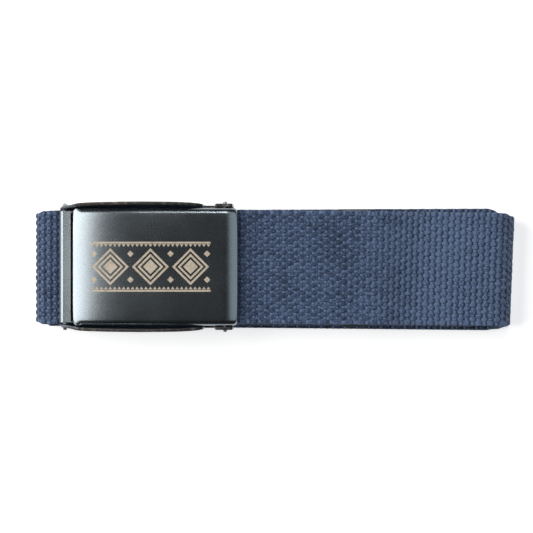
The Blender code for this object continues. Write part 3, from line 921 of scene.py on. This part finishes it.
hinge = Vector(frame["joints"][0]["pos_m"])
plate_low, plate_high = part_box("face_plate")
lever_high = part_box("flip_lever")[1]
plate_start = plate_low.x - hinge.x
plate_end = plate_high.x - hinge.x
crease = plate_end - BEVEL_LENGTH
crest_at = plate_start + (crease - plate_start) * FACE_CREST_PLACE


def face_top(x):
    """Height of the face plate's middle line above the hinge, x metres to the right of it."""
    left = max(0.0, (crest_at - x) / (crest_at - plate_start))
    right = max(0.0, (x - crest_at) / (plate_end - crest_at))
    bevel = max(0.0, (x - crease) / BEVEL_LENGTH)
    dome = FACE_CREST - FACE_LEFT_DROP * left ** 3 - FACE_RIGHT_DROP * right ** 2
    return dome - BEVEL_DROP * bevel ** BEVEL_CURVE


def arc(centre, radius, start, end, steps):
    """Points of an arc between two angles in degrees."""
    turns = [math.radians(start + (end - start) * i / steps) for i in range(steps + 1)]
    return [(centre[0] + radius * math.cos(t), centre[1] + radius * math.sin(t)) for t in turns]


def bent_sheet(name, line, sheet, half_width):
    """A sheet round a middle line of (x, z) points, which are measured from the hinge."""
    upper = []
    lower = []
    for i, point in enumerate(line):
        before = Vector(line[max(0, i - 1)])
        after = Vector(line[min(len(line) - 1, i + 1)])
        along = (after - before).normalized()
        offset = Vector((-along.y, along.x)) * sheet / 2
        upper.append(Vector(point) + offset)
        lower.append(Vector(point) - offset)
    outline = upper + list(reversed(lower))
    shape = bmesh.new()
    rings = []
    for y in (-half_width, half_width):
        rings.append([shape.verts.new((hinge.x + p.x, y, hinge.z + p.y)) for p in outline])
    walls(shape, rings)
    count = len(outline)
    for ring in (rings[0], list(reversed(rings[-1]))):
        for i in range(count // 2 - 1):
            shape.faces.new((ring[i], ring[i + 1], ring[count - 2 - i], ring[count - 1 - i]))
    return finished_mesh(name, shape)


middle = KNUCKLE_RADIUS - LEVER_SHEET / 2
lip = middle + KNUCKLE_RISE
lip_corner = (KNUCKLE_CORNER - middle, lip - KNUCKLE_CORNER)
under = FACE_CROSS_CROWN + FACE_SHEET + SEAT_GAP + LEVER_SHEET / 2
carrier_start = plate_start + LEVER_SHEET
carrier_end = lever_high.x - hinge.x
carrier = []
for i in range(CARRIER_STEPS + 1):
    x = carrier_start + (carrier_end - carrier_start) * i / CARRIER_STEPS
    carrier.append((x, face_top(x) - under))
knuckle = [(KNUCKLE_LIP, lip + KNUCKLE_TILT)]
knuckle += arc(lip_corner, KNUCKLE_CORNER, start=90, end=180, steps=LIP_CORNER_STEPS)
knuckle += arc((0, 0), middle, start=180, end=KNUCKLE_END_ANGLE, steps=KNUCKLE_STEPS)
knuckle.append(carrier[0])
knuckle_mesh = bent_sheet("lever_knuckle", knuckle, LEVER_SHEET, lever_high.y)
knuckle_piece = add_piece("lever_knuckle", knuckle_mesh, satin_plate, bare_edge)
carrier_mesh = bent_sheet("lever_carrier", carrier, LEVER_SHEET, plate_high.y - LEVER_EDGE_INSET)
carrier_piece = add_piece("lever_carrier", carrier_mesh, gloss_plate, bare_edge)
for piece in (knuckle_piece, carrier_piece):
    round_edges(piece, LEVER_EDGE, material=1)
    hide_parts("flip_lever")
    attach(piece, "lid")

# Face plate
# The lid's outer steel sheet, stamped into a long shallow dome with a bevel at its free end and
# rolled long edges, then plated in satin black nickel. Its cut edges show bare steel.

FACE_EDGE = 0.00016
FACE_EDGE_ROLL = 0.002
FACE_EDGE_DROP = 0.0015
FACE_SQUARE_DROP = FACE_SHEET / 4
FACE_CORNER = 0.0012
ROLL_START = 0.0012
ROLL_FULL = 0.0034
FLAT_STEPS = 16
ROLL_STEPS = 10
CORNER_STEPS = 8
LENGTH_STEPS = 110
half_face = plate_high.y


def cross_crown(y):
    """How far the plate has fallen off towards its long edges."""
    return FACE_CROSS_CROWN * (abs(y) / half_face) ** 4


def corner_inset(x):
    """How far a rounded corner draws the long edge in."""
    nearest = min(x - plate_start, plate_end - x)
    short = max(0.0, 1 - nearest / FACE_CORNER)
    return FACE_CORNER * (1 - math.sqrt(max(0.0, 1 - short * short)))


def face_section(x):
    """The plate's outline across the belt. Near its left end the long edges aren't rolled."""
    rolled = ease(max(0.0, min(1.0, (x - plate_start - ROLL_START) / (ROLL_FULL - ROLL_START))))
    drop = FACE_SQUARE_DROP + (FACE_EDGE_DROP - FACE_SQUARE_DROP) * rolled
    flat = half_face - FACE_EDGE_ROLL
    inner = FACE_EDGE_ROLL - FACE_SHEET * rolled
    squeeze = (half_face - corner_inset(x)) / half_face
    upper = [(flat * i / FLAT_STEPS, 0.0) for i in range(FLAT_STEPS + 1)]
    lower = [(across, -FACE_SHEET) for across, _ in upper]
    for i in range(1, ROLL_STEPS + 1):
        turn = math.radians(90 * i / ROLL_STEPS)
        out = math.sin(turn)
        down = 1 - math.cos(turn)
        upper.append((flat + FACE_EDGE_ROLL * out, -drop * down))
        lower.append((flat + inner * out, -FACE_SHEET - (drop - FACE_SHEET * rolled) * down))
    half_outline = upper + list(reversed(lower))
    other_half = [(-y, z) for y, z in reversed(half_outline) if y > 0]
    section = []
    for y, z in half_outline + other_half:
        section.append((hinge.x + x, y * squeeze, hinge.z + face_top(x) - cross_crown(y) + z))
    return section


corner_shares = [1 - math.cos(math.radians(90 * i / CORNER_STEPS)) for i in range(CORNER_STEPS + 1)]
stations = [plate_start + FACE_CORNER * share for share in corner_shares]
corner_end = stations[-1]
inner_length = plate_end - plate_start - 2 * FACE_CORNER
stations += [corner_end + inner_length * i / LENGTH_STEPS for i in range(1, LENGTH_STEPS)]
stations += [plate_end - FACE_CORNER * share for share in reversed(corner_shares)]
face_shape = bmesh.new()
closed_tube(face_shape, [[face_shape.verts.new(point) for point in face_section(x)] for x in stations])
face_mesh = finished_mesh("face_plate_shell", face_shape)
face_shell = add_piece("face_plate_shell", face_mesh, satin_plate, bare_edge)
round_edges(face_shell, FACE_EDGE, angle=50, material=1)
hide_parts("face_plate")
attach(face_shell, "lid")

# Ornament
# A band of nested lozenges between saw-toothed borders, screen-printed on the face plate in thick
# sand-coloured enamel.

ORNAMENT_LENGTH = 0.0405
ORNAMENT_HEIGHT = 0.0168
ORNAMENT_CENTRE_PX = (151, 267)
ENAMEL = 0.00007
FINE_STEP = 0.0006
SOLID = 0.04
LOZENGES = 3
LOZENGE_HALF_LENGTH = 0.46
LOZENGE_HALF_HEIGHT = 0.37
# Size of each nested ring, and of the hole in it, as shares of the lozenge and of the ring.
NESTED_RINGS = ((1.0, 0.84), (0.7, 0.78), (0.4, SOLID))
DIAMOND_HALF = 0.0011
DIAMOND_INSET = 0.0012
DIAMOND_HEIGHT = 0.26
BORDER_HEIGHT = 0.0006
TEETH = 27
TOOTH_OFFSET = 0.0005
TOOTH_HALF_WIDTH = 0.42
TOOTH_LENGTH = 0.62
TOOTH_CENTRE = 0.2
MOTTLE_SHARE = 0.25
WEAR_BAND = (0.3, 0.55)
WEAR_RELIEF = 0.00003
WORN_SAND = (0.42, 0.35, 0.27, 1.0)
SAND = (0.62, 0.53, 0.42, 1.0)

enamel = Finish("sand_enamel", Roughness=0.55)
wear = enamel.noise(scale=900.0, detail=4.0, roughness=0.7)
mottle = enamel.noise(scale=160.0)
whole = enamel.band(wear + spread(MOTTLE_SHARE, mottle), *WEAR_BAND)
enamel.feed("Base Color", enamel.blend(whole, WORN_SAND, SAND))
enamel.bump(wear, WEAR_RELIEF)
ornament_centre = photo_point(*ORNAMENT_CENTRE_PX)
print_shape = bmesh.new()


def printed_point(u, v, lift):
    """A point over the plate, u metres along it from the ornament's centre and v across it."""
    x = ornament_centre[0] + u
    return (x, v, hinge.z + face_top(x - hinge.x) - cross_crown(v) + lift)


def printed_bar(v, length, height):
    """A straight bar of enamel along the belt, centred at v."""
    steps = round(length / FINE_STEP)
    corners = ((-1, -1), (1, -1), (1, 1), (-1, 1))
    rings = []
    for i in range(steps + 1):
        u = length * (i / steps - 0.5)
        ring = [printed_point(u, v + side * height / 2, lift * ENAMEL) for side, lift in corners]
        rings.append([print_shape.verts.new(point) for point in ring])
    closed_tube(print_shape, rings)


def subdivided(loop):
    """The loop with points added so that its sides follow the plate's curve."""
    points = []
    for start, end in zip(loop, loop[1:] + loop[:1]):
        stretches = max(1, round((Vector(end) - Vector(start)).length / FINE_STEP))
        for i in range(stretches):
            points.append(Vector(start).lerp(Vector(end), i / stretches))
    return points


def printed_ring(outer, shrink, centre):
    """A band of enamel between a closed outline and the same outline shrunk about its centre."""
    middle_point = Vector(centre)
    outside = subdivided(outer)
    hole = [middle_point + (p - middle_point) * shrink for p in outside]
    loops = []
    for points, lift in ((outside, -ENAMEL), (outside, ENAMEL), (hole, ENAMEL), (hole, -ENAMEL)):
        loops.append([print_shape.verts.new(printed_point(p.x, p.y, lift)) for p in points])
    for i in range(len(outside)):
        j = (i + 1) % len(outside)
        for near, far in zip(loops, loops[1:] + loops[:1]):
            print_shape.faces.new((near[i], near[j], far[j], far[i]))


def lozenge(u, v, half_length, half_height):
    return [(u - half_length, v), (u, v - half_height), (u + half_length, v), (u, v + half_height)]


pitch = ORNAMENT_LENGTH / LOZENGES
lozenge_half = (pitch * LOZENGE_HALF_LENGTH, ORNAMENT_HEIGHT * LOZENGE_HALF_HEIGHT)
for i in range(LOZENGES):
    u = (i - (LOZENGES - 1) / 2) * pitch
    for share, hole_share in NESTED_RINGS:
        outline = lozenge(u, 0.0, lozenge_half[0] * share, lozenge_half[1] * share)
        printed_ring(outline, hole_share, (u, 0.0))
for i in range(LOZENGES + 1):
    u = (i - LOZENGES / 2) * pitch + DIAMOND_INSET * ((i == 0) - (i == LOZENGES))
    for side in (-1, 1):
        v = side * ORNAMENT_HEIGHT * DIAMOND_HEIGHT
        printed_ring(lozenge(u, v, DIAMOND_HALF, DIAMOND_HALF), SOLID, (u, v))
tooth = ORNAMENT_LENGTH / TEETH
for side in (-1, 1):
    v = side * (ORNAMENT_HEIGHT / 2 - BORDER_HEIGHT / 2)
    printed_bar(v, ORNAMENT_LENGTH, BORDER_HEIGHT)
    base = v - side * TOOTH_OFFSET
    half = tooth * TOOTH_HALF_WIDTH
    for i in range(TEETH):
        u = (i + 0.5) * tooth - ORNAMENT_LENGTH / 2
        triangle = [(u - half, base), (u + half, base), (u, base - side * tooth * TOOTH_LENGTH)]
        printed_ring(triangle, SOLID, (u, base - side * tooth * TOOTH_CENTRE))
ornament = add_piece("printed_ornament", finished_mesh("printed_ornament", print_shape), enamel)
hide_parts("face_plate")
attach(ornament, "lid")
